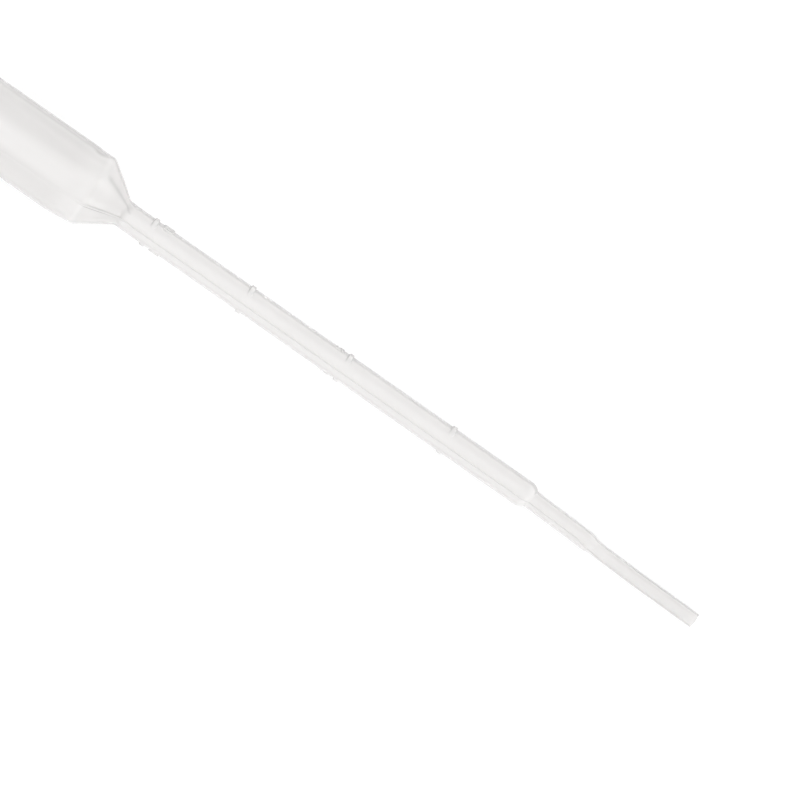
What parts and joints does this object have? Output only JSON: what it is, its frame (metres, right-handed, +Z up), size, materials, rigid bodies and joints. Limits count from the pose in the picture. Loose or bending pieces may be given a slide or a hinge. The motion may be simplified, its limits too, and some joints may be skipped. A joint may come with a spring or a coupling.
{
  "type": "dropper pipette",
  "caption": "Hollow one-piece dropper pipette lying on its side: closed squeeze bulb, cone, straight graduated stem and a stepped, slightly bent open tip.",
  "frame": {"origin": "on the floor under the centre of the object's box, where it lies at rest", "axes": "+X along the stem towards the tip, -X towards the bulb, +Z up from the floor, +Y to the side that the tip bends away from"},
  "size_m": [0.155, 0.0134, 0.0146],
  "materials": {
    "translucent_polyethylene": "soft satin, translucent, milky where the wall is seen edge on"
  },
  "bodies": {
    "root": {"pipette": "translucent_polyethylene"}
  },
  "joints": []
}
